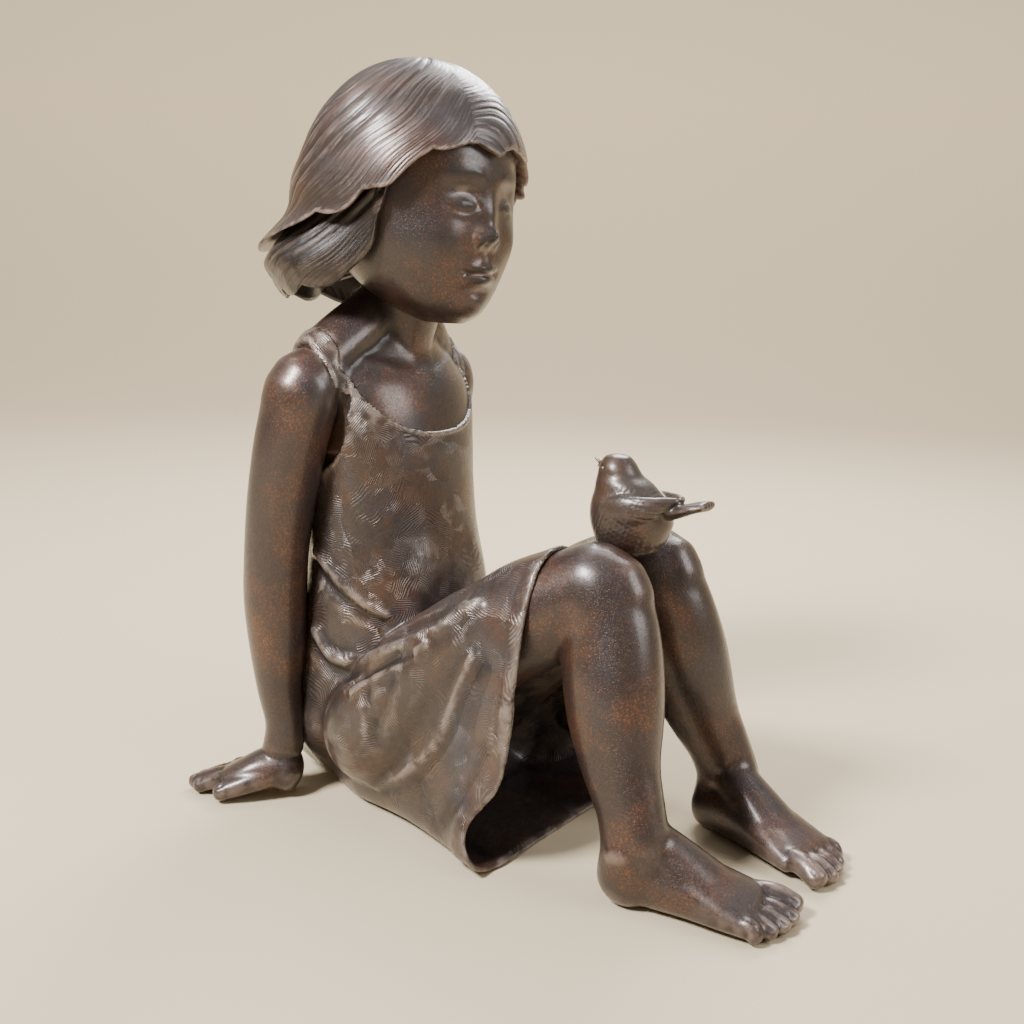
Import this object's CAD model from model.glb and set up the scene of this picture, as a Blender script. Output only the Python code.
import math

import bpy
import numpy as np
from mathutils import Matrix


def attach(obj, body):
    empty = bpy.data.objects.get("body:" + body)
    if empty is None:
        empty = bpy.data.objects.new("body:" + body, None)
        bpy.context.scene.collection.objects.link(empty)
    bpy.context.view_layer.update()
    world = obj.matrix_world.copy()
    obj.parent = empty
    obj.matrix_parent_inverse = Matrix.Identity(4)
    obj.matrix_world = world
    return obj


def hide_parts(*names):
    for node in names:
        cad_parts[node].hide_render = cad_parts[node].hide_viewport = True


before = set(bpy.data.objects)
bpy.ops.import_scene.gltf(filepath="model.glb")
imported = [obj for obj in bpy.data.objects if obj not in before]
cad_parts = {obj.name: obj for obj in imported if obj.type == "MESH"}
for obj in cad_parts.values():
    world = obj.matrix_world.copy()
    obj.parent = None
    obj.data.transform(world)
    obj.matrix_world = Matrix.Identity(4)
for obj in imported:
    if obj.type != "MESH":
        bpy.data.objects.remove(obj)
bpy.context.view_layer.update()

# Legs and feet. Bare legs of cast bronze, drawn up at the knees, with both feet flat and turned in.
# Each is modelled as round forms laid over each other and smoothed into one skin, then the nails
# are cut. Lengths here and in the later sections are in mm.

MM = 0.001
RIGHT, LEFT = -1, 1
THIGH = [
    (41, -52, 92, 30, 29),
    (39, -88, 120, 28, 28.5),
    (36, -122, 142, 26.5, 28),
    (34, -144, 155, 24, 25),
]
SHIN = [
    (34, -146, 154, 24, 25),
    (36, -154, 134, 23.5, 26.5),
    (40, -159, 112, 24, 27.5),
    (44, -164, 90, 22, 26),
    (49, -171, 68, 18, 21.5),
    (53, -180, 48, 15.5, 18.5),
    (55, -184, 32, 15.5, 18.5),
    (54, -180, 14, 15, 17),
]
KNEECAP = [(34, -161, 165, 13, 9), (34, -167, 153, 13.5, 9), (35, -166, 141, 11, 8)]
LEFT_KNEE = (0, 6, -2)  # her left knee is drawn a little nearer
# Along the foot from the heel, height, half-width and half-height.
FOOT = [(0, 12.5, 14, 12.5), (16, 16, 15.5, 16), (36, 14.5, 18, 14.5), (57, 10.5, 21.5, 10.5), (69, 8, 22.5, 8)]
INSTEP = [(6, 40, 11, 11), (20, 31, 13.5, 13), (34, 21.5, 16, 13.5), (52, 13, 18, 10.5)]
HEEL = (53.0, -174.0)
TOE_IN = {RIGHT: math.radians(14), LEFT: math.radians(15)}
BALL_REACH = 69.0
LEG_GRAIN = 1.28
# How far out each toe stands from the middle of the ball, its reach, and its radius.
TOES = [(-15.0, 22.5, 6.9), (-4.8, 22.5, 5.3), (3.8, 19.5, 5.0), (11.6, 14.5, 4.8), (18.8, 8.0, 4.7)]


def within(values):
    """The values kept between 0 and 1."""
    return np.clip(values, 0, 1)


def unit(vectors):
    """The vectors at length 1."""
    return vectors / np.maximum(np.linalg.norm(vectors, axis=-1, keepdims=True), 1e-12)


def hermite(u, span, start, end, leave, arrive):
    """Cubic from start to end at share u, with the slopes leave and arrive over the span between."""
    return (
        (2 * u**3 - 3 * u**2 + 1) * start
        + (u**3 - 2 * u**2 + u) * span * leave
        + (3 * u**2 - 2 * u**3) * end
        + (u**3 - u**2) * span * arrive
    )


def spline(rows, count):
    """Hermite curve through the rows, with each row's slope taken from its neighbours, at count even steps."""
    rows = np.asarray(rows, float)
    gaps = np.linalg.norm(np.diff(rows[:, :3], axis=0), axis=1)
    knots = np.concatenate([[0.0], np.cumsum(np.maximum(gaps, 1e-6))])
    slopes = np.gradient(rows, knots, axis=0)
    at = np.linspace(0.0, knots[-1], count)
    k = np.clip(np.searchsorted(knots, at, side="right") - 1, 0, len(knots) - 2)
    span = (knots[k + 1] - knots[k])[:, None]
    u = (at[:, None] - knots[k][:, None]) / span
    return hermite(u, span, rows[k], rows[k + 1], slopes[k], slopes[k + 1])


def limb(stations, steps=24, sides=28, caps=(1.0, 1.0), square=1.0):
    """An oval carried along a path: centre + across * half-width * cos + deep * half-depth * sin.

    A station is x, y, z, half-width and half-depth. Each end gets a dome, a quarter ellipse of
    rings as deep as its cap's share of the end's radius. square under 1 fills the oval's corners.
    """
    rows = spline(stations, steps)
    turn = np.linspace(0.0, math.pi / 2, 7)[1:, None]
    fade = np.maximum(np.cos(turn), 0.06)
    first, last = rows[0], rows[-1]
    head_way, tail_way = unit(first[:3] - rows[1][:3]), unit(last[:3] - rows[-2][:3])
    head = np.hstack([first[:3] + head_way * np.sin(turn) * min(first[3:]) * caps[0], first[3:] * fade])
    tail = np.hstack([last[:3] + tail_way * np.sin(turn) * min(last[3:]) * caps[1], last[3:] * fade])
    rows = np.concatenate([head[::-1], rows, tail])
    path = rows[:, :3]
    along = unit(np.gradient(path, axis=0))
    side = np.array((1.0, 0.0, 0.0))
    across = unit(side - along * (along @ side)[:, None])
    deep = np.cross(along, across)
    angles = np.linspace(0.0, 2 * math.pi, sides, endpoint=False)
    c, s = np.cos(angles), np.sin(angles)
    c, s = np.sign(c) * np.abs(c) ** square, np.sign(s) * np.abs(s) ** square
    wide = across[:, None] * (rows[:, 3, None] * c)[..., None]
    return path[:, None] + wide + deep[:, None] * (rows[:, 4, None] * s)[..., None]


def mirrored(stations, hand):
    """Stations given for her left side, moved to the side that hand names."""
    rows = np.array(stations, float)
    rows[:, 0] *= hand
    return rows


def shell(rings):
    """Points and faces of a closed skin: quads between neighbouring rings, and a cap at each end."""
    count, sides = rings.shape[:2]
    ring, spot = np.meshgrid(np.arange(count - 1), np.arange(sides), indexing="ij")
    before = (spot - 1) % sides
    quads = np.stack([ring * sides + before, ring * sides + spot, (ring + 1) * sides + spot,
                      (ring + 1) * sides + before], axis=-1).reshape(-1, 4)
    caps = [list(range(sides))[::-1], list(range((count - 1) * sides, count * sides))]
    return rings.reshape(-1, 3), quads.tolist() + caps


def piece_of(name, shells):
    """One object holding the shells side by side, turned from mm into metres, faces as the shells give them."""
    points, faces = [], []
    for spots, quads in shells:
        start = sum(len(p) for p in points)
        points.append(spots)
        faces += [[index + start for index in quad] for quad in quads]
    mesh = bpy.data.meshes.new(name)
    mesh.from_pydata((np.concatenate(points) * MM).tolist(), [], faces)
    piece = bpy.data.objects.new(name, mesh)
    bpy.context.collection.objects.link(piece)
    return piece


def settle(piece):
    """Replaces the piece's mesh by what its modifiers make of it, shaded smooth."""
    bpy.context.view_layer.update()
    seen = piece.evaluated_get(bpy.context.evaluated_depsgraph_get())
    mesh = bpy.data.meshes.new_from_object(seen)
    piece.modifiers.clear()
    piece.data = mesh
    mesh.shade_smooth()


def fused(name, shells, grain):
    """The shells fused into one skin, on a grid of the given grain in mm."""
    piece = piece_of(name, shells)
    fuse = piece.modifiers.new("Fuse", "REMESH")
    fuse.mode = "VOXEL"
    fuse.voxel_size = grain * MM
    settle(piece)
    return piece


def smoothed(piece, rounds, weights=None):
    """Moves each point towards the middle of its neighbours, rounds times, by its weight."""
    smooth = piece.modifiers.new("Soften", "SMOOTH")
    smooth.factor = 0.5
    smooth.iterations = rounds
    if weights is not None:
        group = piece.vertex_groups.new(name="soft")
        for step in np.unique(np.round(weights, 1)):
            group.add(np.flatnonzero(np.round(weights, 1) == step).tolist(), float(step), "REPLACE")
        smooth.vertex_group = group.name
    settle(piece)
    piece.vertex_groups.clear()


def read(piece, what="co"):
    """The mesh's points in mm, or its normals."""
    values = np.zeros(len(piece.data.vertices) * 3)
    piece.data.vertices.foreach_get(what, values)
    return values.reshape(-1, 3) / (MM if what == "co" else 1)


def write(piece, points):
    """Puts the points, in mm, back into the mesh."""
    piece.data.vertices.foreach_set("co", (points * MM).ravel())
    piece.data.update()


def line_distance(points, line):
    """Distance of each point from a broken line, the least over its straight stretches."""
    near = np.full(len(points), np.inf)
    for start, end in zip(line, line[1:]):
        run = end - start
        share = within(((points - start) @ run) / (run @ run))
        near = np.minimum(near, np.linalg.norm(points - start - share[:, None] * run, axis=1))
    return near


def groove(points, normals, line, width, rise):
    """Raises the surface along a line by rise * exp(-(distance / width) squared), or cuts it below 0."""
    line = np.asarray(line, float)
    reach = 3 * width
    close = np.flatnonzero(((points > line.min(0) - reach) & (points < line.max(0) + reach)).all(axis=1))
    near = line_distance(points[close], line)
    points[close] += normals[close] * (rise * np.exp(-((near / width) ** 2)))[:, None]


def nail(points, normals, root, ahead, width, length):
    """Cuts the outline of a nail, an arch across the finger from its root, and lifts the plate inside."""
    ahead = unit(np.asarray(ahead, float))
    across = unit(np.cross(ahead, (0.0, 0.0, 1.0)))
    turn = np.linspace(0, math.pi, 9)[:, None]
    arch = root - ahead * np.sin(turn) * length * 0.45 + across * np.cos(turn) * width
    rim = np.concatenate([arch[:1] + ahead * length * 0.5, arch, arch[-1:] + ahead * length * 0.5])
    groove(points, normals, rim, 0.7, -0.75)
    groove(points, normals, [root - ahead * length * 0.2, root + ahead * length * 0.5], width * 0.7, 0.45)


def foot_frame(hand):
    """Heel, way ahead and way outwards of a foot, as for her left, in x and y."""
    ahead = np.array([-math.sin(TOE_IN[hand]), -math.cos(TOE_IN[hand])])
    return np.array(HEEL), ahead, np.array([-ahead[1], ahead[0]])


def leg(name, hand):
    """A leg and its foot as one fused skin, with its toe nails."""
    thigh, shin, cap = (mirrored(rows, hand) for rows in (THIGH, SHIN, KNEECAP))
    if hand == LEFT:
        for rows in (thigh, shin, cap):
            rows[:, :3] += np.array(LEFT_KNEE) * within(rows[:, 2:3] / 150)
    parts = [limb(thigh, 20), limb(shin, 30), limb(cap, 8, 20)]
    for out, height in ((-1, 34), (1, 31)):
        bone = [(55.5 + out * 12.0, y, height, 5.5, 5.5) for y in (-184, -180)]
        parts.append(limb(mirrored(bone, hand), 3, 14))
    heel, ahead, out = foot_frame(hand)
    sole = [(*(heel + ahead * along), z, a, b) for along, z, a, b in FOOT]
    parts.append(limb(mirrored(sole, hand), 20, 28, (0.8, 0.5), 0.86))
    bridge = [(*(heel + ahead * along), z, a, b) for along, z, a, b in INSTEP]
    parts.append(limb(mirrored(bridge, hand), 16, 24, (0.6, 0.6)))
    ball = heel + ahead * BALL_REACH
    nails = []
    for offset, reach, radius in TOES:
        root = ball + out * offset * 0.92 - ahead * 9
        knuckle = ball + out * offset + ahead * reach * 0.42
        tip = ball + out * offset * 1.02 + ahead * (reach - radius * 0.7)
        toe = [
            (*root, radius + 2.5, radius * 0.9, radius * 0.9),
            (*knuckle, radius + 3.2, radius * 0.86, radius * 0.92),
            (*tip, radius * 0.93, radius, radius * 0.86),
        ]
        parts.append(limb(mirrored(toe, hand), 8, 18, (0.5, 0.75)))
        nails.append((np.array([*(tip - ahead * radius * 0.1), radius * 1.62]), radius))
    piece = fused(name, [shell(part) for part in parts], LEG_GRAIN)
    points = read(piece)
    lower = within((points[:, 2] - 30) / 14)
    fore = within((-188 - points[:, 1]) / 16)
    smoothed(piece, 5)
    smoothed(piece, 46, np.maximum(lower, 0.6 * (1 - fore) * within(points[:, 2] / 8)))
    points, normals = read(piece), read(piece, "normal")
    turn = np.array([hand, 1])
    for root, radius in nails:
        root[0] *= hand
        nail(points, normals, root, [*(ahead * turn), -0.25], radius * 0.62, radius * 1.35)
    points[:, 2] = np.maximum(points[:, 2], 0.0)
    write(piece, points)
    return piece


right_leg = leg("right_leg", RIGHT)
left_leg = leg("left_leg", LEFT)


WEAR_ROUNDS = 10


def wear_marks(piece):
    """Stores in "wear" how far each point stands out from the skin smoothed over its neighbours.

    Above 0 are ridges and edges, which hands rub bright. Below 0 are folds, where dark wax stays.
    """
    edges = np.zeros(len(piece.data.edges) * 2, np.int64)
    piece.data.edges.foreach_get("vertices", edges)
    one, other = edges.reshape(-1, 2).T
    to, origin = np.concatenate([one, other]), np.concatenate([other, one])
    points = read(piece)
    count = np.maximum(np.bincount(to, minlength=len(points)), 1)
    middle = points.T
    for _ in range(WEAR_ROUNDS):
        middle = np.array([np.bincount(to, weights=row[origin], minlength=len(points)) / count for row in middle])
    stand = ((points - middle.T) * read(piece, "normal")).sum(axis=1)
    wear = piece.data.attributes.new("wear", "FLOAT", "POINT")
    wear.data.foreach_set("value", np.clip(stand, -1, 1).astype(np.float32))


def node(tree, kind, values=None, **settings):
    """A shader node with its settings, its input values and its incoming links."""
    made = tree.nodes.new(kind)
    for name, value in settings.items():
        setattr(made, name, value)
    for name, value in (values or {}).items():
        if isinstance(value, bpy.types.NodeSocket):
            tree.links.new(value, made.inputs[name])
        else:
            made.inputs[name].default_value = value
    return made


def noise(tree, place, scale, detail=2.0, roughness=0.5):
    """Value of a noise at this many lumps a metre."""
    values = {"Vector": place, "Scale": scale, "Detail": detail, "Roughness": roughness}
    return node(tree, "ShaderNodeTexNoise", values).outputs["Fac"]


def between(tree, value, low, high):
    """0 where the value is low or under, 1 where it is high or over, smooth in between."""
    made = node(tree, "ShaderNodeMapRange", {"Value": value, "From Min": low, "From Max": high},
                interpolation_type="SMOOTHSTEP")
    return made.outputs["Result"]


def times(tree, one, other, operation="MULTIPLY"):
    """Two values multiplied, or joined by another operation."""
    return node(tree, "ShaderNodeMath", {0: one, 1: other}, operation=operation).outputs["Value"]


def tinted(tree, share, under, over):
    """The under colour, with the over colour laid on it by share."""
    made = node(tree, "ShaderNodeMix", {"Factor": share}, data_type="RGBA")
    for socket, value in ((made.inputs[6], under), (made.inputs[7], over)):
        if isinstance(value, bpy.types.NodeSocket):
            tree.links.new(value, socket)
        else:
            socket.default_value = (*value, 1.0)
    return made.outputs[2]


def group_of(name, inputs, outputs):
    """An empty node group with these sockets, and its input and output nodes."""
    tree = bpy.data.node_groups.new(name, "ShaderNodeTree")
    for label, kind, value in inputs:
        socket = tree.interface.new_socket(label, in_out="INPUT", socket_type="NodeSocket" + kind)
        if value is not None:
            socket.default_value = value
    for label, kind in outputs:
        tree.interface.new_socket(label, in_out="OUTPUT", socket_type="NodeSocket" + kind)
    return tree, tree.nodes.new("NodeGroupInput"), tree.nodes.new("NodeGroupOutput")


# The patina that all the bronze has: brown, in places purple-grey or rusty, finely speckled as if
# sponged on, waxed, rubbed to a coppery pink on the ridges and left dark in the folds.
patina, given, made = group_of(
    "Brown patina",
    [("Place", "Vector", None), ("Wear", "Float", 0.0), ("Ground", "Color", (0.07, 0.045, 0.036, 1)),
     ("Rust", "Color", (0.22, 0.085, 0.03, 1)), ("Cool", "Color", (0.075, 0.062, 0.068, 1)),
     ("Rubbed", "Color", (0.36, 0.24, 0.19, 1)), ("Rustiness", "Float", 0.5), ("Speckle", "Float", 0.6)],
    [("Color", "Color"), ("Roughness", "Float"), ("Height", "Float")],
)
place = given.outputs["Place"]
wear = given.outputs["Wear"]
cool_patches = between(patina, noise(patina, place, 17, 3), 0.5, 0.66)
rust_patches = between(patina, noise(patina, place, 31, 4, 0.6), 0.42, 0.68)
sponge = between(patina, noise(patina, place, 780, 3, 0.7), 0.48, 0.66)
pits = between(patina, noise(patina, place, 980, 2, 0.7), 0.47, 0.33)
rust = times(patina, times(patina, rust_patches, given.outputs["Rustiness"]), 0.75)
dots = times(patina, times(patina, sponge, given.outputs["Speckle"]), times(patina, rust_patches, 0.3, "ADD"))
ridge = times(patina, between(patina, wear, 0.12, 0.62), between(patina, noise(patina, place, 120, 3), 0.3, 0.6))
fold = between(patina, wear, -0.08, -0.55)
colour = tinted(patina, times(patina, cool_patches, 0.75), given.outputs["Ground"], given.outputs["Cool"])
colour = tinted(patina, rust, colour, given.outputs["Rust"])
colour = tinted(patina, dots, colour, given.outputs["Rust"])
colour = tinted(patina, times(patina, pits, 0.55), colour, (0.018, 0.012, 0.011))
colour = tinted(patina, times(patina, ridge, 0.8), colour, given.outputs["Rubbed"])
colour = tinted(patina, times(patina, fold, 0.8), colour, (0.012, 0.008, 0.008))
rough = times(patina, times(patina, noise(patina, place, 240, 3), 0.26), 0.24, "ADD")
rough = times(patina, rough, times(patina, fold, 0.2), "ADD")
height = times(patina, times(patina, noise(patina, place, 900, 2), 0.5), times(patina, pits, -0.5), "ADD")
patina.links.new(colour, made.inputs["Color"])
patina.links.new(rough, made.inputs["Roughness"])
patina.links.new(height, made.inputs["Height"])


def bronze(name, bump, ground, rust, cool, rubbed, rustiness, speckle, combed=None):
    """A bronze of the brown patina, with the bump's depth in mm, and comb marks if their group is given."""
    material = bpy.data.materials.new(name)
    material.use_nodes = True
    tree = material.node_tree
    surface = tree.nodes["Principled BSDF"]
    spot = node(tree, "ShaderNodeTexCoord").outputs["Object"]
    worn = node(tree, "ShaderNodeAttribute", attribute_name="wear").outputs["Fac"]
    coat = tree.nodes.new("ShaderNodeGroup")
    coat.node_tree = patina
    tree.links.new(spot, coat.inputs["Place"])
    for label, value in (("Ground", ground), ("Rust", rust), ("Cool", cool), ("Rubbed", rubbed)):
        coat.inputs[label].default_value = (*value, 1.0)
    coat.inputs["Rustiness"].default_value = rustiness
    coat.inputs["Speckle"].default_value = speckle
    height = coat.outputs["Height"]
    if combed is not None:
        marks = tree.nodes.new("ShaderNodeGroup")
        marks.node_tree = combed
        tree.links.new(spot, marks.inputs["Place"])
        worn = times(tree, worn, times(tree, marks.outputs["Ridge"], 0.34), "ADD")
        worn = times(tree, worn, 0.12, "SUBTRACT")
        height = times(tree, times(tree, height, 0.3), marks.outputs["Ridge"], "ADD")
    tree.links.new(worn, coat.inputs["Wear"])
    relief = node(tree, "ShaderNodeBump", {"Height": height, "Distance": bump * MM, "Strength": 1.0})
    tree.links.new(coat.outputs["Color"], surface.inputs["Base Color"])
    tree.links.new(coat.outputs["Roughness"], surface.inputs["Roughness"])
    tree.links.new(relief.outputs["Normal"], surface.inputs["Normal"])
    surface.inputs["Metallic"].default_value = 0.4
    surface.inputs["Coat Weight"].default_value = 0.5
    surface.inputs["Coat Roughness"].default_value = 0.24
    return material


def cast(piece, material, slot, *stands_for):
    """Gives the piece its bronze, and sets it on the part in place of the plain solids."""
    wear_marks(piece)
    piece.data.materials.clear()
    piece.data.materials.append(material)
    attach(piece, "root")
    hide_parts(*stands_for)


skin_bronze = bronze("Skin bronze", 0.16, (0.031, 0.022, 0.021), (0.14, 0.055, 0.024), (0.033, 0.028, 0.033),
                     (0.19, 0.14, 0.12), 0.3, 0.9)
for limb_piece in (right_leg, left_leg):
    cast(limb_piece, skin_bronze, "girl_bronze", "girl")

# Arms and hands. Both arms are straight and prop her up from behind, with the palms flat on the
# ground and the fingers together, pointing back and out. They come out of the dress's armholes.

ARM = [
    (52, 31, 257, 17, 17),
    (63, 34, 251, 21.5, 22),
    (68, 39, 230, 20.5, 22),
    (69, 48, 195, 19.5, 21.5),
    (69, 56, 150, 18, 20),
    (68, 58.5, 122, 18, 19.8),
    (67, 58.5, 97, 16.5, 18.5),
    (66.5, 57, 62, 13, 14),
    (66.5, 54, 44, 11, 12.5),
    (67.5, 55, 30, 12, 12.5),
    (69, 60, 19.5, 11, 10),
]
SHOULDER = [(8, 27, 297, 13, 17), (28, 29, 284, 14, 19), (50, 33, 268, 15, 19)]
LEFT_SHOULDER = (-4, 3, 0)  # her left shoulder is drawn back a little
PALM = [
    (67, 52, 16, 14, 14),
    (73, 62, 16.5, 16, 12.5),
    (79.5, 73, 13, 17.5, 9.5),
    (84, 81, 10, 16.5, 7.5),
]
WRIST = (67.0, 54.0)
ARM_GRAIN = 1.15
HAND_TURN = (0.50, 0.866)
# Side offset at the knuckle and at the tip, reach from the wrist, radius: index to little.
FINGERS = [(10.5, 9.0, 56.0, 5.0), (3.6, 3.2, 61.0, 5.1), (-3.4, -3.2, 58.0, 4.9), (-9.6, -9.0, 50.0, 4.5)]
THUMB = [(6, 9, 15, 8.5, 8), (20, 16, 11, 6.8, 6.5), (34, 20, 6.5, 5.8, 5.4)]


def arm(name, hand):
    """An arm and its hand as one fused skin, with its finger nails and knuckles."""
    upper, top = mirrored(ARM, hand), mirrored(SHOULDER, hand)
    if hand == LEFT:
        upper[:, :3] += np.array(LEFT_SHOULDER) * within(upper[:, 2:3] / 240)
        top[-1, :3] += LEFT_SHOULDER
    parts = [limb(upper, 40), limb(top, 8, 24), limb(mirrored(PALM, hand), 14, 24, (0.7, 0.5))]
    ahead = np.array(HAND_TURN)
    out = np.array([ahead[1], -ahead[0]])
    turn = np.array([hand, 1, 1])
    nails, knuckles = [], []
    for root_out, tip_out, reach, radius in FINGERS:
        stretch = [(22, root_out * 0.9, 13, 0.95), (33, root_out, 12, 1.0), (reach - 14, tip_out, 8.5, 0.96)]
        stretch += [(reach - radius, tip_out, 5.0, 0.86)]
        finger = [(*(np.array(WRIST) + ahead * s + out * o), z, radius * r, radius * r) for s, o, z, r in stretch]
        parts.append(limb(mirrored(finger, hand), 14, 16, (0.5, 0.9)))
        end = np.array(finger[-1][:3])
        nails.append(((end + (0, 0, radius * 0.8)) * turn, radius))
        middle = (np.array(finger[1][:3]) + np.array(finger[2][:3])) / 2
        half = out * radius * 0.6
        knuckles.append(((middle + (*half, radius)) * turn, (middle + (*-half, radius)) * turn))
    thumb = [(*(np.array(WRIST) + ahead * s + out * o), z, a, b) for s, o, z, a, b in THUMB]
    parts.append(limb(mirrored(thumb, hand), 12, 18, (0.5, 0.9)))
    nails.append(((np.array(thumb[-1][:3]) + (0, 0, 4.6)) * turn, 5.4))
    piece = fused(name, [shell(part) for part in parts], ARM_GRAIN)
    points = read(piece)
    smoothed(piece, 4)
    smoothed(piece, 49, within((points[:, 2] - 30) / 16))
    points, normals = read(piece), read(piece, "normal")
    hidden = within((57 - np.abs(points[:, 0])) / 6) * within((points[:, 2] - 190) / 20)
    strap = within((66 - np.abs(points[:, 0])) / 4) * within((points[:, 2] - 252) / 10)
    hidden = np.maximum(hidden, strap)
    points -= normals * (3.5 * hidden)[:, None]  # under the strap and the neck
    for root, radius in nails:
        nail(points, normals, root, [ahead[0] * hand, ahead[1], -0.35], radius * 0.6, radius * 1.3)
    for line in knuckles:
        groove(points, normals, line, 1.0, -0.35)
    points[:, 2] = np.maximum(points[:, 2], 0.0)
    write(piece, points)
    return piece


right_arm = arm("right_arm", RIGHT)
left_arm = arm("left_arm", LEFT)
for limb_piece in (right_arm, left_arm):
    cast(limb_piece, skin_bronze, "girl_bronze", "girl")


# Neck and the top of the chest. Bare skin that shows in the neckline: the throat, the collar bones
# and the slope to the shoulders. It goes on a little way down under the cloth.

CHEST = [
    (0, 26, 190, 57.5, 43),
    (0, 26, 215, 58.5, 41),
    (0, 26, 238, 59, 36),
    (0, 29, 254, 56, 31),
    (0, 30, 268, 44, 27),
    (0, 29, 280, 28, 25),
]
NECK = [(0, 30, 250, 30, 28), (0, 27, 272, 24, 26), (1, 21, 294, 22.5, 26.5), (2, 12, 320, 24, 26)]
COLLAR_BONE = [(6, -1, 254), (20, 4, 258), (36, 12, 263)]
THROAT = [(-5, 0, 252), (5, 0, 252)]
NECK_GRAIN = 1.5


def shoulders():
    """The slopes of both shoulders and the tops of both arms, which the neck and the dress melt into."""
    forms = []
    for hand in (RIGHT, LEFT):
        top, upper = mirrored(SHOULDER, hand), mirrored(ARM[:2], hand)
        if hand == LEFT:
            top[-1, :3] += LEFT_SHOULDER
            upper[:, :3] += LEFT_SHOULDER
        forms += [limb(top, 12, 24), limb(upper, 16, 28)]
    return forms


parts = [limb(CHEST, 24, 48, (0.2, 0.5), 0.92), limb(NECK, 18, 32, (0.4, 0.4)), *shoulders()]
neck = fused("neck", [shell(part) for part in parts], NECK_GRAIN)
smoothed(neck, 35)
points, normals = read(neck), read(neck, "normal")
hidden = within((np.abs(points[:, 0]) - 56) / 4) + within((212 - points[:, 2]) / 8)
points -= normals * (0.7 + 4 * within(hidden))[:, None]
for hand in (RIGHT, LEFT):
    line = mirrored(COLLAR_BONE, hand)
    groove(points, normals, line, 3.4, 0.7)
    groove(points, normals, line + (0, 0, 6), 4.4, -0.5)
    groove(points, normals, mirrored([(5, 1, 256), (12, 2, 290)], hand), 4.5, 0.4)
groove(points, normals, THROAT, 4.2, -0.8)
write(neck, points)
cast(neck, skin_bronze, "girl_bronze", "girl")


# Dress. A sleeveless dress of thin cloth, modelled and cast with the body. The cloth hangs close to
# the body, bunches at the waist, is stretched over both thighs and falls beside them to the ground,
# open in front. Its whole face was combed with fine short strokes while the model was soft.

TORSO = [
    (0, 35, 14, 46, 56),
    (0, 34, 34, 59, 61),
    (0, 31, 60, 60.5, 60),
    (0, 27, 95, 59.5, 55),
    (0, 22, 126, 59, 51),
    (0, 24, 158, 57.5, 45),
    *CHEST,
]
# Half rings of the skirt, over the thigh, down the side and under the seat, as x and z.
SKIRT_HIPS = [
    (0, 82), (22, 86), (42, 86), (58, 79), (64, 66), (64, 50),
    (61, 34), (57, 18), (52, 5), (46, 0), (24, 0), (0, 0),
]
SKIRT_LAP = [
    (0, 104), (20, 114), (38, 118), (54, 112), (66, 96), (70, 78),
    (68, 54), (65, 28), (59, 6), (50, 0), (26, 0), (0, 0),
]
SKIRT_LATE = [
    (0, 142), (19, 152), (37, 155), (55, 147), (67, 124), (72, 98),
    (73, 66), (73, 32), (71, 6), (60, 0), (32, 0), (0, 0),
]
SKIRT_HEM = [
    (0, 158), (18, 169), (35, 175), (52, 170), (65, 148), (72, 118),
    (76, 80), (81, 38), (87, 6), (74, 0), (38, 0), (0, 0),
]
SKIRT_RINGS = [(SKIRT_HIPS, 8, 2, 0), (SKIRT_LAP, -32, 6, 0), (SKIRT_LATE, -70, 10, 2), (SKIRT_HEM, -109, 12, 15)]
# The thighs as they show through the cloth.
UNDER_CLOTH = [(42, -5, 50, 38, 36), (41, -45, 88, 36, 36), (39, -88, 126, 31, 28), (37, -105, 137, 28.5, 25)]
CLOTH_WALL = 3.4
DRESS_GRAIN = 1.3
DRESS_TRIANGLES = 172000
# The folds' widths and rises as listed are taken this many times.
FOLD_WIDTH, FOLD_RISE = 1.5, 0.95
# Where the cloth ends: the rolled band's place and height, and how deep the skin beyond it lies.
EDGE = (1.5, 0.8, 5.0)
NECKLINE = [
    (0, -14, 223), (16, -13, 224), (28, -10, 227), (37, -5, 232), (44, 2, 240), (49, 10, 250), (53, 17, 262),
    (55, 25, 274), (55, 33, 281), (54, 41, 276), (50, 47, 266), (40, 52, 256), (25, 56, 250), (12, 58, 247),
    (0, 58, 246),
]
ARMHOLE = [
    (63, 36, 279), (66, 25, 272), (64, 15, 260), (61, 11, 248), (58, 11, 234), (57, 13, 220), (58, 20, 208),
    (60, 32, 200), (60, 46, 204), (60, 55, 218), (60, 57, 238), (61, 52, 258), (62, 45, 272), (63, 36, 279),
]


def skirt_ring(outline, ground, reach, tuck):
    """A closed ring: a smooth curve through the outline and its mirror, leaning forward with height.

    The lean is reach * (1 - (1 - z / 176) to the power 2.5). Near the ground the ring is tucked back
    at its two sides by a bell curve, where the hem curls.
    """
    half = np.array(outline, float)
    whole = np.concatenate([half, (half * (-1, 1))[-2:0:-1], half[:1]])
    rows = spline(np.column_stack([whole, np.zeros(len(whole))]), 145)[:-1]
    x, z = rows[:, 0], np.maximum(rows[:, 1], 0.0)
    lean = 1 - within(1 - z / 176) ** 2.5
    curl = tuck * np.exp(-(((z - 26) / 17) ** 2)) * within((np.abs(x) - 60) / 12)
    return np.column_stack([x, ground - reach * lean + curl, z])


def shrunk(ring, wall):
    """The ring moved inwards by the wall, in its own upright plane."""
    ahead = np.roll(ring, -1, axis=0) - np.roll(ring, 1, axis=0)
    inward = unit(np.column_stack([ahead[:, 2], np.zeros(len(ring)), -ahead[:, 0]]))
    inward *= np.where(((ring.mean(axis=0) - ring) * inward).sum(axis=1) < 0, -1.0, 1.0)[:, None]
    return ring + inward * wall


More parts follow.
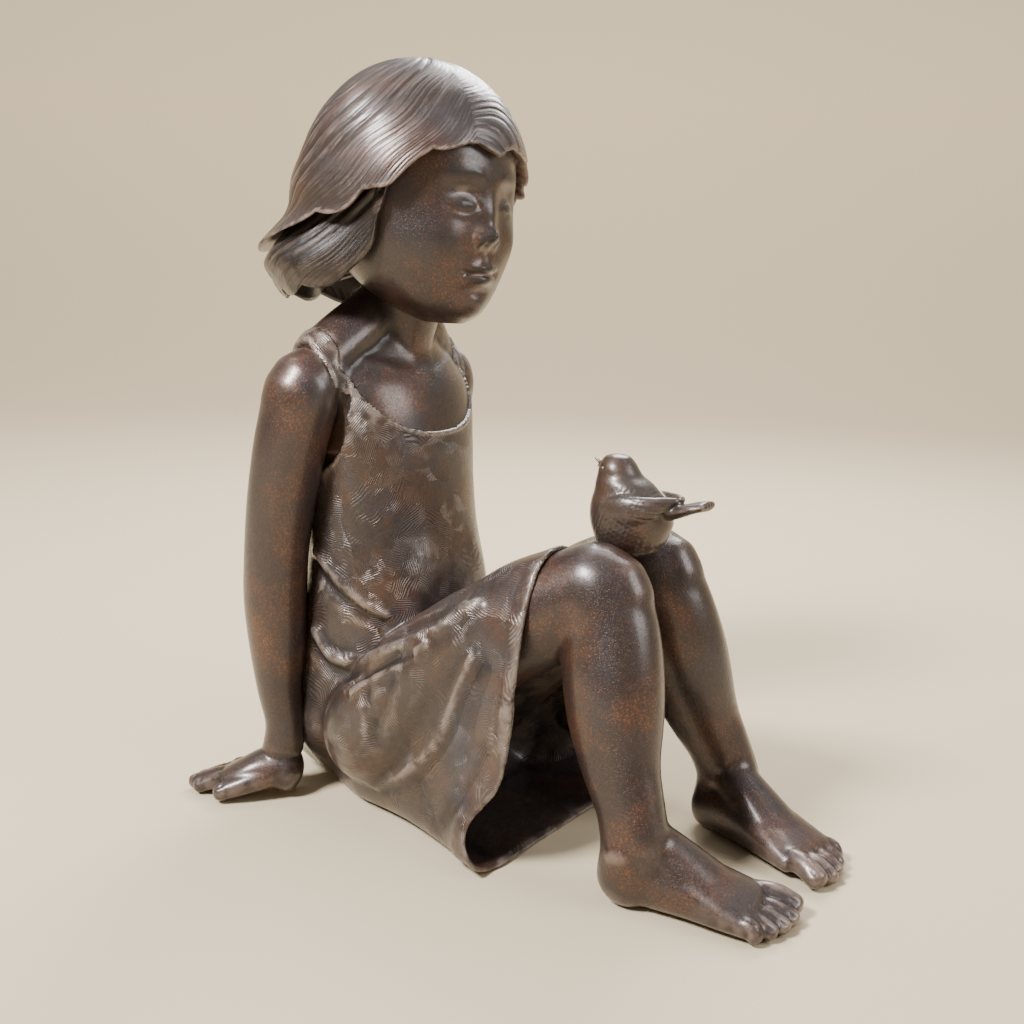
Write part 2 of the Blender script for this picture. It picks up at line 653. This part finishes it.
def skirt():
    """Rings from inside the hips to the hem, round its lip and back along the inner wall: a deep cup."""
    rings = [skirt_ring(*ring) for ring in SKIRT_RINGS]
    flat = np.array(rings).reshape(len(rings), -1)
    knots = np.arange(len(rings), dtype=float)
    slopes = np.gradient(flat, knots, axis=0)

    def at(share):
        """The ring at this share of the way, on Hermite curves through the four."""
        spot = share * (len(rings) - 1)
        k = min(int(spot), len(rings) - 2)
        u = spot - k
        return hermite(u, 1, flat[k], flat[k + 1], slopes[k], slopes[k + 1]).reshape(-1, 3)

    back = rings[0] * (0.75, 1, 0.8) + (0, 30, 0)
    outer = [back] + [at(share) for share in np.linspace(0, 1, 32)]
    lip = shrunk(rings[-1], CLOTH_WALL * 0.5) - (0, CLOTH_WALL * 0.4, 0)
    inner = [shrunk(at(share), CLOTH_WALL) for share in np.linspace(1, 0.4, 16)]
    return np.array([*outer, lip, *inner, shrunk(at(0.32), CLOTH_WALL * 5)])


# Folds of the cloth on her right side: the line, its width, and how far it rises or is cut.
FOLDS = [
    ([(-59, 34, 104), (-60, 25, 93), (-57, 12, 90), (-63, -19, 101), (-71, -46, 116), (-70, -67, 128),
      (-64, -88, 143)], 3.0, 3.2),
    ([(-61, 36, 95), (-63, 23, 84), (-60, 9, 82), (-71, -29, 97), (-73, -51, 110)], 2.6, -2.8),
    ([(-55, -20, 110), (-60, -41, 122), (-63, -63, 134), (-64, -80, 143)], 2.6, 1.5),
    ([(-73, -9, 80), (-72, -23, 91), (-73, -48, 107), (-72, -62, 118)], 2.2, 2.6),
    ([(-69, -4, 83), (-72, -19, 94), (-73, -40, 108)], 1.8, -3.2),
    ([(-56, 36, 152), (-56, 18, 139), (-53, 0, 127), (-46, -9, 121)], 2.8, 2.2),
    ([(-57, 35, 144), (-58, 20, 132), (-55, 1, 120), (-48, -9, 115)], 2.4, -2.2),
    ([(-70, -91, 116), (-73, -86, 104), (-74, -80, 87), (-75, -73, 70), (-72, -58, 51), (-65, -36, 33),
      (-63, -16, 22)], 2.8, 2.6),
    ([(-70, -99, 112), (-73, -93, 94), (-74, -88, 73), (-73, -76, 52), (-70, -60, 34)], 6.5, -2.6),
    ([(-64, 44, 50), (-60, 44, 34), (-52, 40, 18)], 5.0, 2.2),
    ([(-74, -20, 90), (-76, -26, 74), (-76, -28, 58)], 3.0, -1.8),
    ([(-75, -40, 95), (-77, -36, 80), (-77, -30, 66)], 3.0, -1.8),
    ([(-77, -104, 65), (-75, -94, 47), (-74, -80, 34), (-73, -73, 22)], 6.0, -2.8),
    ([(-76, -115, 92), (-78, -110, 69), (-77, -100, 46), (-78, -91, 30), (-80, -90, 10)], 4.0, 1.6),
    ([(-58, -112, 163), (-66, -111, 146), (-71, -112, 128), (-74, -112, 100), (-76, -112, 80)], 0.9, -0.8),
    ([(-22, -16, 150), (-34, -18, 118), (-36, -30, 118)], 6.0, 1.8),
    ([(-28, 66, 190), (-30, 76, 130), (-36, 84, 60), (-38, 80, 12)], 7.0, 2.6),
    ([(-12, 66, 200), (-12, 76, 130), (-14, 90, 60), (-14, 90, 12)], 6.0, -2.4),
    ([(-50, 52, 170), (-52, 58, 140), (-56, 60, 110)], 4.0, 1.6),
    ([(-40, 62, 120), (-48, 68, 90), (-54, 66, 62)], 4.0, -1.8),
]


def cut_edge(points, normals, loop, open_side, band, lip, sunk):
    """Lets the cloth end at a line: beyond it the skin drops by sunk over 1.4 mm, and before it a
    rolled band of lip * exp(-((distance - band) / 0.9) squared) stands up."""
    near = line_distance(points, np.asarray(loop, float))
    signed = np.where(open_side, -near, near)
    drop = within(0.2 - signed / 1.4)
    drop = drop * drop * (3 - 2 * drop)
    roll = lip * np.exp(-(((signed - band) / 0.9) ** 2))
    points += normals * (roll - sunk * drop)[:, None]


parts = [limb(TORSO, 48, 64, (0.25, 0.5), 0.92), skirt(), *shoulders()]
parts += [limb(mirrored(UNDER_CLOTH, hand), 20, 28, (1.0, 0.25)) for hand in (RIGHT, LEFT)]
dress = fused("dress", [shell(part) for part in parts], DRESS_GRAIN)
points = read(dress)
x, y, z = points.T
rim = within(1 - np.abs(y + 118 + np.clip(z - 150, 0, 30) * 0.1) / 9)
smoothed(dress, 4)
smoothed(dress, 47, 1 - rim)
points, normals = read(dress), read(dress, "normal")
for line, width, rise in FOLDS:
    for hand in (RIGHT, LEFT):
        groove(points, normals, np.array(line, float) * (-hand, 1, 1), FOLD_WIDTH * width, FOLD_RISE * rise)
normals = unit(normals)
half = np.array(NECKLINE, float)
neck_loop = np.concatenate([half, (half * (-1, 1, 1))[-2::-1]])
turn = np.arctan2(neck_loop[:, 1] - 28, neck_loop[:, 0])
order = np.argsort(turn)
at = np.arctan2(points[:, 1] - 28, points[:, 0])
neck_open = points[:, 2] > np.interp(at, turn[order], neck_loop[order, 2], period=2 * math.pi)
neck_open &= np.abs(points[:, 0]) < 55.5
points += normals * (0.6 * within((points[:, 2] - 215) / 15))[:, None]
cut_edge(points, normals, neck_loop, neck_open, *EDGE)
for hand in (RIGHT, LEFT):
    loop = mirrored(ARMHOLE, hand)
    if hand == LEFT:
        loop += (-3, 3, 0)
    middle = loop[:-1].mean(axis=0)
    turn = np.arctan2(loop[:-1, 2] - middle[2], loop[:-1, 1] - middle[1])
    reach = np.hypot(loop[:-1, 2] - middle[2], loop[:-1, 1] - middle[1])
    order = np.argsort(turn)
    at = np.arctan2(points[:, 2] - middle[2], points[:, 1] - middle[1])
    away = np.hypot(points[:, 2] - middle[2], points[:, 1] - middle[1])
    outward = np.interp(at, turn[order], (loop[:-1, 0] * hand)[order], period=2 * math.pi)
    arm_open = (away < np.interp(at, turn[order], reach[order], period=2 * math.pi)) | (points[:, 0] * hand > 68)
    rising = within((points[:, 2] - 238) / 12)
    arm_open &= (points[:, 0] * hand > 40 + (outward - 40) * rising) & (points[:, 2] > 195)
    cut_edge(points, normals, loop, arm_open, *EDGE)
points[:, 2] = np.maximum(points[:, 2], 0.0)
write(dress, points)
fewer = dress.modifiers.new("Fewer", "DECIMATE")
dress.data.calc_loop_triangles()
fewer.ratio = min(1.0, DRESS_TRIANGLES / len(dress.data.loop_triangles))
settle(dress)

# Comb marks: fans of short lines about 1.1 mm apart, each about 16 mm across and turned its own way.
COMB_PITCH = 0.0011
FANS_A_METRE = 62.0
WAVE_UNIT = 0.314  # a wave texture of scale 1 repeats after this length
comb, given, made = group_of("Comb marks", [("Place", "Vector", None)], [("Ridge", "Float")])
place = given.outputs["Place"]
bend = node(comb, "ShaderNodeTexNoise", {"Vector": place, "Scale": 55.0, "Detail": 1.0})
sway = node(comb, "ShaderNodeVectorMath", {0: bend.outputs["Color"], 1: (0.5, 0.5, 0.5)}, operation="SUBTRACT")
sway = node(comb, "ShaderNodeVectorMath", {0: sway.outputs["Vector"], "Scale": 0.007}, operation="SCALE")
swayed = node(comb, "ShaderNodeVectorMath", {0: place, 1: sway.outputs["Vector"]}, operation="ADD")
fans = node(comb, "ShaderNodeTexVoronoi", {"Vector": swayed.outputs["Vector"], "Scale": FANS_A_METRE})
swing = node(comb, "ShaderNodeVectorMath", {0: fans.outputs["Color"], 1: (0.5, 0.5, 0.5)}, operation="SUBTRACT")
swing = node(comb, "ShaderNodeVectorMath", {0: swing.outputs["Vector"], "Scale": 2.4}, operation="SCALE")
turned = node(comb, "ShaderNodeVectorRotate",
              {"Vector": swayed.outputs["Vector"], "Rotation": swing.outputs["Vector"]}, rotation_type="EULER_XYZ")
lines = node(comb, "ShaderNodeTexWave",
             {"Vector": turned.outputs["Vector"], "Scale": WAVE_UNIT / COMB_PITCH, "Distortion": 1.2, "Detail": 2.0,
              "Detail Scale": 1.2}, bands_direction="Z")
patchy = between(comb, noise(comb, place, 90, 2), 0.36, 0.56)
comb.links.new(times(comb, lines.outputs["Fac"], patchy), made.inputs["Ridge"])

cloth_bronze = bronze("Cloth bronze", 0.26, (0.042, 0.032, 0.029), (0.13, 0.058, 0.026), (0.046, 0.043, 0.052),
                      (0.24, 0.195, 0.17), 0.45, 0.55, comb)
cast(dress, cloth_bronze, "girl_bronze", "girl")


# Head. The girl's bare head with a calm child's face, set a little to her right on the neck. The
# ears show only as lobes under the hair.

HEAD_AT = np.array([2.0, 11.0, 357.0])
HEAD_TURN = math.radians(6)
HEAD_NOD = math.radians(2)
# Rings of the head from the crown to under the chin: z, half-width, front and back.
HEAD = [
    (70, 12, 12, -14),
    (66, 24, 27, -28),
    (58, 37, 43, -42),
    (44, 47, 55, -54),
    (24, 53, 62, -60),
    (4, 54.5, 62, -60),
    (-14, 53, 60, -56),
    (-28, 50, 58.5, -46),
    (-40, 45, 56.5, -34),
    (-50, 38.5, 54, -22),
    (-58, 30.5, 51.5, -10),
    (-65, 20, 47.5, 4),
    (-69.5, 10, 41, 16),
]
# The face's forms: distance from the middle and height, their two spreads, and the rise.
FACE = [
    (17, 0, 10.5, 8, -4.5),
    (17, 11, 12, 4.5, 1.5),
    (0, 3, 8, 9, 1.2),
    (0, -10, 6.5, 8, 3.2),
    (0, -20.5, 5.2, 5.2, 8.0),
    (6.8, -23, 3.2, 3.4, 3.6),
    (0, -41, 14, 10, 3.5),
    (0, -38.2, 8.5, 2.4, 2.0),
    (3.2, -36.8, 2.2, 1.8, 0.7),
    (0, -44.8, 7.0, 2.6, 2.6),
    (12.5, -41, 2.4, 2.4, -1.4),
    (0, -50.5, 8, 3, -1.6),
    (0, -60, 11, 8, 4.0),
    (29, -24, 15, 14, 4.0),
    (17, -3, 8.0, 5.4, 4.4),
    (0, -31, 1.8, 4.0, -0.45),
    (3.4, -26.4, 1.8, 1.1, -1.6),
]
# Fine lines of the face: points as distance from the middle and height, width, and rise.
FACE_LINES = [
    ([(7.5, -4.5), (9.5, -1.6), (12.5, 0.9), (17, 2.2), (21.5, 0.9), (25.5, -2.4), (27.5, -5.0)], 0.9, -0.5),
    ([(8.2, -4.6), (10.5, -3.0), (13, -1.3), (17, -0.4), (21, -1.2), (24.5, -3.6), (26, -5.2)], 0.8, -0.6),
    ([(8.4, -5.0), (12, -7.4), (17, -8.4), (21.5, -7.4), (25.5, -5.2)], 0.8, -0.45),
    ([(9, -7.4), (13, -9.8), (17.5, -10.6), (22.5, -9.2)], 1.1, 0.35),
    ([(0, -41.2), (4, -41.0), (8, -41.3), (11.5, -40.6)], 0.8, -2.0),
    ([(9.6, -20.0), (10.0, -23.0), (8.6, -25.8)], 1.1, -0.8),
    ([(9, 12.5), (14, 15), (20, 15.4), (26, 12.8)], 2.4, 0.5),
]


def head_place(points):
    """Points of the head's own frame, x to her right, y forward and z up, put on the neck."""
    x, y, z = np.moveaxis(np.asarray(points, float), -1, 0)
    y, z = y * math.cos(HEAD_NOD) + z * math.sin(HEAD_NOD), z * math.cos(HEAD_NOD) - y * math.sin(HEAD_NOD)
    c, s = math.cos(HEAD_TURN), math.sin(HEAD_TURN)
    return HEAD_AT + np.stack([-x * c - y * s, x * s - y * c, z], axis=-1)


def head_rings(rows, sides):
    """Rounded rings of the skull, with the face's forms as two-way bell curves on its front.

    Each form adds rise * exp(-((|x| - at) / wide) squared - ((z - height) / tall) squared) to y, and each
    line adds rise * exp(-(distance / width) squared).
    """
    z, half, front, back = spline(HEAD, rows).T[..., None]
    turn = np.linspace(0, 2 * math.pi, sides, endpoint=False)
    turn = turn - 0.30 * np.sin(2 * (turn - math.pi / 2)) * (np.sin(turn) > 0)
    c, s = np.cos(turn), np.sin(turn)
    c, s = c * (1 + 0.05 * s**2), s * (1 + 0.03 * c**2)
    middle = back + (front - back) * 0.45
    x = half * c
    y = middle + np.where(s > 0, front - middle, middle - back) * s
    z = np.broadcast_to(z, x.shape)
    facing = within(s) ** 0.5
    for at, height, wide, tall, rise in FACE:
        y = y + rise * np.exp(-(((np.abs(x) - at) / wide) ** 2) - ((z - height) / tall) ** 2) * facing
    flat = np.stack([np.abs(x), z], axis=-1).reshape(-1, 2)
    for line, width, rise in FACE_LINES:
        near = line_distance(flat, np.array(line, float)).reshape(x.shape)
        y = y + rise * np.exp(-((near / width) ** 2)) * facing
    iris = np.hypot(np.abs(x) - 17, z + 4.2)
    y = y + (-0.45 * np.exp(-(((iris - 3.3) / 0.55) ** 2)) - 0.7 * np.exp(-((iris / 1.3) ** 2))) * facing
    return head_place(np.stack([x, y, z], axis=-1))


ears = []
for hand in (RIGHT, LEFT):
    ear = limb([(-hand * 53, -4, 4, 3.5, 7), (-hand * 55, -5, -8, 4.2, 7.5), (-hand * 53.5, -3, -20, 3.4, 5)], 12, 20)
    ears.append(shell(head_place(ear)))
head = piece_of("head", [shell(head_rings(184, 208)), *ears])
smoothed(head, 2)
cast(head, skin_bronze, "girl_bronze", "girl")


# Hair. Two layers, modelled as thick locks with strands cut into them. The top layer is swept from
# a parting over one brow, down and back, and ends in a ragged edge. The under layer comes out
# below it, darker.

HAIR = (60.5, 67.5, 77.0)
# Lower edge of each layer, as azimuth from the face to either side and elevation.
TOP_EDGE = [
    (0, 18), (12, 23), (24, 21), (33, 19), (41, 17), (47, 12), (54, 5),
    (62, 2), (73, -5), (87, -10), (106, -16), (135, -24), (180, -38),
]
LOW_EDGE = [(0, 30), (52, 18), (60, -4), (66, -24), (72, -33), (82, -44), (108, -53), (180, -60)]
PARTING = math.radians(-24)
TOP_LAYER = 4.5
FLARE = [(0, 0), (66, 0), (112, 27), (138, 32), (160, 22), (180, 17)]
FRINGE_LOCK = math.radians(15)


def by_azimuth(table, azimuth):
    """The table's value at each azimuth, the same on both sides of the head."""
    at, value = np.array(table, float).T
    fold = np.abs((azimuth + math.pi) % (2 * math.pi) - math.pi)
    return np.interp(np.degrees(fold), at, value)


def lock_wave(strand, width):
    """Locks across the strands: |sin| to the power 0.7, 1 on a lock's ridge and 0 in its groove."""
    swing = strand + 0.35 * width * np.sin(strand * 3.1 + 0.7) + 0.2 * width * np.sin(strand * 7.3)
    return np.abs(np.sin(math.pi * swing / width)) ** 0.7


def hair_rings(table, lift, relief, rows, sides, inner, sunk=0.0):
    """Rings of one layer from the crown to its edge, round the lip and back inside.

    The radius is an ellipsoid's, plus the layer's lift, the locks' relief and the strands'. The
    strands run slantwise: their coordinate is the azimuth from the parting less 1.1 * the angle from
    the crown, with a slow wave. The ends are swept out by the flare where they hang low. A layer that
    lies under another is sunk up to where it comes out.
    """
    azimuth = np.linspace(-math.pi, math.pi, sides, endpoint=False)
    away = np.abs(azimuth - PARTING)
    edge = np.radians(by_azimuth(table, azimuth))
    slant = within(0.35 + away)
    tips = lock_wave(away - 1.1 * (math.pi / 2 - edge) * slant + lift, FRINGE_LOCK)
    edge = edge - math.radians(5) * (tips - 0.6) * np.clip(np.abs(azimuth) / 1.2, 0.3, 1)
    flare = by_azimuth(FLARE, azimuth)
    share, depth = np.array([(t, 0.0) for t in np.linspace(0.03, 1.0, rows)] + inner).T[..., None]
    height = math.pi / 2 - share * (math.pi / 2 - edge)
    strand = away - 1.1 * (math.pi / 2 - height) * slant + lift
    locks = lock_wave(strand, FRINGE_LOCK)
    strand = strand + 0.05 * np.sin(height * 4.3 + 5 * away) + 0.03 * np.sin(height * 9 - 3 * away)
    strands = lock_wave(strand, FRINGE_LOCK / 4.6)
    deep = 0.55 + 0.45 * np.sin(2.3 * strand + 1.1 * height + 0.6)
    reach = 1 / np.sqrt(
        (np.cos(height) * np.sin(azimuth) / HAIR[0]) ** 2
        + (np.cos(height) * np.cos(azimuth) / HAIR[1]) ** 2
        + (np.sin(height) / HAIR[2]) ** 2
    )
    show = within(share * 1.3 - 0.1)
    reach = reach + lift * within(share * 1.6) + relief * deep * (locks - 1) * show - depth
    reach = reach + 0.45 * (strands - 0.7) * (1 - 0.6 * deep) * within(share * 2.2 - 0.1)
    reach = reach - sunk * within(1 - (share - 0.55) / 0.5)
    z = reach * np.sin(height)
    behind = within((np.abs(azimuth) - math.radians(66)) / math.radians(46))
    behind = behind * behind * (3 - 2 * behind)
    fall = within((-4 - z) / 40)
    sweep = 4 * within((24 - z) / 20) * behind + flare * fall * fall * (3 - 2 * fall)
    flat = reach * np.cos(height) + sweep * (depth < 9)
    place = head_place(np.stack([flat * np.sin(azimuth), flat * np.cos(azimuth), z], axis=-1))
    return place, np.broadcast_to(strand, flat.shape)


def hair_layer(name, *form):
    """A layer of hair that keeps its strands' coordinate in "strand", for the fine lines cut in it."""
    rings, strand = hair_rings(*form)
    layer = piece_of(name, [shell(rings)])
    smoothed(layer, 1)
    kept = layer.data.attributes.new("strand", "FLOAT", "POINT")
    kept.data.foreach_set("value", strand.ravel().astype(np.float32))
    return layer


top_inner = [(1.0, 2.0), (0.97, TOP_LAYER + 1.5), (0.8, TOP_LAYER + 6), (0.6, TOP_LAYER + 8)]
low_inner = [(1.0, 3.0), (0.99, 8.0), (0.98, 18.0), (0.9, 26.0)]
# Strands: uneven lines about 2 mm apart along the locks, made by a noise drawn out along them.
strands, given, made = group_of("Cut strands", [("Place", "Vector", None)], [("Ridge", "Float")])
across = node(strands, "ShaderNodeAttribute", attribute_name="strand").outputs["Fac"]
drift = noise(strands, given.outputs["Place"], 26, 1)
fine = node(strands, "ShaderNodeCombineXYZ", {"X": times(strands, across, 34.0), "Y": times(strands, drift, 1.6)})
coarse = node(strands, "ShaderNodeCombineXYZ", {"X": times(strands, across, 13.0), "Y": times(strands, drift, 1.1)})
cut = between(strands, noise(strands, fine.outputs["Vector"], 1.0, 2), 0.32, 0.68)
lump = between(strands, noise(strands, coarse.outputs["Vector"], 1.0, 1), 0.3, 0.7)
strands.links.new(times(strands, times(strands, cut, 0.6), times(strands, lump, 0.4), "ADD"), made.inputs["Ridge"])

hair_bronze = bronze("Hair bronze", 0.45, (0.04, 0.028, 0.025), (0.13, 0.052, 0.024), (0.042, 0.036, 0.038),
                     (0.24, 0.175, 0.15), 0.35, 0.3, strands)
top_hair = hair_layer("hair_top", TOP_EDGE, TOP_LAYER, 3.6, 130, 450, top_inner)
low_hair = hair_layer("hair_under", LOW_EDGE, 0.0, 3.0, 108, 390, low_inner, 6.5)
dark_bronze = bronze("Under hair bronze", 0.5, (0.014, 0.01, 0.009), (0.035, 0.016, 0.009), (0.015, 0.013, 0.014),
                     (0.06, 0.042, 0.035), 0.3, 0.2, strands)
cast(top_hair, hair_bronze, "girl_bronze", "girl")
cast(low_hair, dark_bronze, "girl_bronze", "girl")


# Bird. A small songbird that sits between the knees and looks up at the girl, with
# scalloped feathers on its breast and back, folded wings and a flat tail. Cast in bronze, set in
# its seat.

BIRD_SEAT = np.array([0.0, -145.0, 192.0])
BIRD_GRAIN = 0.58
# Its body and head as level ovals from the belly up: x, y, z, half-width and half-length.
BIRD_BODY = [
    (0, 2, -26, 2, 2),
    (0, 2, -24.6, 8, 9),
    (0, 1.8, -19, 15, 17.5),
    (0, 1.4, -12, 17.5, 22),
    (0, 1.3, -4, 18, 24),
    (0, 1.8, 3, 17.2, 23),
    (0, 4.2, 9, 14.5, 19),
    (0, 6.5, 14, 13.2, 16),
    (0, 9.2, 18, 11.2, 12.4),
    (0, 10.2, 22, 10.4, 10.6),
    (0, 10.8, 26, 7.8, 8.2),
    (0, 11, 28.2, 4.8, 5.2),
    (0, 11, 29, 1, 1),
]
BEAK = [(0, 17, 21.5, 2.8, 2.4), (0, 20.5, 22.6, 1.7, 1.5), (0, 25, 25.4, 0.8, 0.7)]
LOWER_BEAK = [(0, 17, 20.2, 2.2, 1.6), (0, 20.5, 20.6, 1.3, 1.0), (0, 23.2, 21.2, 0.6, 0.6)]
WING = [
    (12.8, 11, 1, 3.6, 6.5),
    (15, -2, 0.5, 3.8, 9),
    (12.4, -14, 3.5, 3.5, 6.5),
    (7.4, -22, 6.5, 2.8, 3.6),
    (3.6, -26, 7.6, 2.2, 2.2),
]
TAIL = [(0, -16, 0.5, 8, 6), (0, -27, 2, 7.4, 3.6), (0, -36, 5, 9.6, 2.8), (0, -43, 6.8, 8.4, 2.6)]
rows = spline(np.array(BIRD_BODY, float), 90)[..., None]
turn = np.linspace(0, 2 * math.pi, 48, endpoint=False)
level = 0 * turn
body = np.stack([rows[:, 3] * np.cos(turn), rows[:, 1] + rows[:, 4] * np.sin(turn), rows[:, 2] + level], axis=-1)
parts = [body, limb(BEAK, 10, 14, (0.5, 1.0)), limb(LOWER_BEAK, 8, 14, (0.5, 1.0)),
         limb(TAIL, 16, 28, (0.5, 0.6))]
for hand in (RIGHT, LEFT):
    parts.append(limb(mirrored(WING, hand), 26, 28))
bird = fused("bird_figure", [shell(part + BIRD_SEAT) for part in parts], BIRD_GRAIN)
smoothed(bird, 5)
x, y, z = (read(bird) - BIRD_SEAT).T
smoothed(bird, 30, within((y + 27) / 5) * (1 - within((y - 18) / 2) * (z > 18)))
points, normals = read(bird), read(bird, "normal")
x, y, z = (points - BIRD_SEAT).T
# Feathers: rows of scallops across the way to the tail, each row half a feather aside of the last.
row = (y * 0.92 + z * 0.4) / 2.7
across = np.arctan2(np.abs(x), z + 4) * 6.5 + 0.5 * np.floor(row)
scallop = (row - np.floor(row)) - 0.35 * (1 - np.abs(np.sin(math.pi * across)))
feather = np.where(scallop > 0, scallop, scallop + 1)
body = within((22 - np.abs(y)) / 8) * within((15 - z) / 5)
side_wing = within((np.abs(x) - 8) / 3) * within((12 - z) / 4) * within((z + 5) / 4)
points += normals * ((0.3 * (1 - feather) - 0.15) * body * (1 - 0.7 * side_wing))[:, None]
plume = np.abs(np.sin(math.pi * (z - 0.12 * y) / 3.0)) ** 0.5
points += normals * (0.45 * (plume - 0.7) * side_wing * within((-6 - y) / 8))[:, None]
barbs = np.abs(np.sin(math.pi * (x / 3.1 + 0.5))) ** 0.5
points += normals * (0.4 * (barbs - 0.7) * within((-30 - y) / 5))[:, None]
for hand in (RIGHT, LEFT):
    eye = np.array([hand * 8.8, 15.4, 21.5]) + BIRD_SEAT
    turn = np.linspace(0, 2 * math.pi, 13)[:, None]
    ring = eye + np.cos(turn) * (-0.9 * hand, 1.5, 0) + np.sin(turn) * (0, 0, 1.7)
    groove(points, normals, ring, 0.5, -0.55)
    groove(points, normals, [eye, eye + (0, 0.1, 0)], 1.0, 0.7)
write(bird, points)
bird_bronze = bronze("Bird bronze", 0.14, (0.044, 0.031, 0.026), (0.13, 0.054, 0.025), (0.052, 0.046, 0.04),
                     (0.27, 0.2, 0.165), 0.42, 0.35)
cast(bird, bird_bronze, "bird_bronze", "bird")


# Studio. A plain pale floor, soft lamps as for a catalogue picture, and the camera of the picture.

# The floor is a wide flat disc whose rim sweeps up in a curve to a slanting wall.
turn = np.linspace(0, 2 * math.pi, 97)[:-1]
rise = np.linspace(0, math.pi / 2, 17)
reach = np.concatenate([[0.01, 1.0, 2.0], 2.2 + 1.6 * np.sin(rise), [4.3]])
level = np.concatenate([[0, 0, 0], 1.0 * (1 - np.cos(rise)), [1.9]])
sweep = np.stack([reach[:, None] * np.cos(turn), reach[:, None] * np.sin(turn), level[:, None] + 0 * turn], axis=-1)
spots, quads = shell(sweep / MM)
floor = piece_of("floor", [(spots, [quad[::-1] for quad in quads[:-1]])])
floor.data.shade_smooth()
plain = bpy.data.materials.new("Pale floor")
plain.use_nodes = True
plain.node_tree.nodes["Principled BSDF"].inputs["Base Color"].default_value = (0.56, 0.465, 0.32, 1)
plain.node_tree.nodes["Principled BSDF"].inputs["Roughness"].default_value = 0.9
floor.data.materials.append(plain)

world = bpy.data.worlds.new("Studio")
bpy.context.scene.world = world
world.use_nodes = True
world.node_tree.nodes["Background"].inputs["Color"].default_value = (0.66, 0.63, 0.6, 1)
world.node_tree.nodes["Background"].inputs["Strength"].default_value = 0.65


def softbox(name, place, aim, size, power, colour=(1, 1, 1)):
    """A square lamp at a place, turned to a point."""
    lamp = bpy.data.lights.new(name, "AREA")
    lamp.size = size
    lamp.energy = power
    lamp.color = colour
    box = bpy.data.objects.new(name, lamp)
    bpy.context.collection.objects.link(box)
    way = np.array(aim, float) - np.array(place, float)
    yaw = math.atan2(way[1], way[0])
    pitch = math.atan2(way[2], math.hypot(way[0], way[1]))
    box.location = place
    box.rotation_euler = (math.pi / 2 + pitch, 0, yaw - math.pi / 2)


# Places are given from the camera: to its right, up, and towards it from the figure.
AZIMUTH = math.radians(-54.604)
right = np.array([math.cos(AZIMUTH), math.sin(AZIMUTH), 0])
near = np.array([math.sin(AZIMUTH), -math.cos(AZIMUTH), 0])
up = np.array([0, 0, 1])
centre = np.array([0, -0.06, 0.2])
softbox("key", centre - right * 0.9 + near * 0.75 + up * 1.1, centre, 0.36, 66)
softbox("fill", centre + right * 1.1 + near * 0.5 + up * 0.6, centre, 0.7, 12)
softbox("back", centre + right * 0.3 - near * 1.0 + up * 1.0, centre, 0.6, 22)
softbox("wall", centre - near * 0.9 + up * 2.2, centre - near * 3.6 + up * 0.7, 2.0, 150, (1, 0.97, 0.93))

lens = bpy.data.cameras.new("camera")
lens.lens = 41.81
lens.sensor_width = 36.0
camera = bpy.data.objects.new("camera", lens)
bpy.context.collection.objects.link(camera)
bpy.context.scene.camera = camera
CAMERA_AT = (-0.5468, -0.4537, 0.3085)
PITCH = math.radians(10.813)
ROLL = math.radians(1.031)
tilt = Matrix.Rotation(math.pi / 2 - PITCH, 4, "X")
camera.matrix_world = (
    Matrix.Translation(CAMERA_AT) @ Matrix.Rotation(AZIMUTH, 4, "Z") @ tilt @ Matrix.Rotation(ROLL, 4, "Z")
)
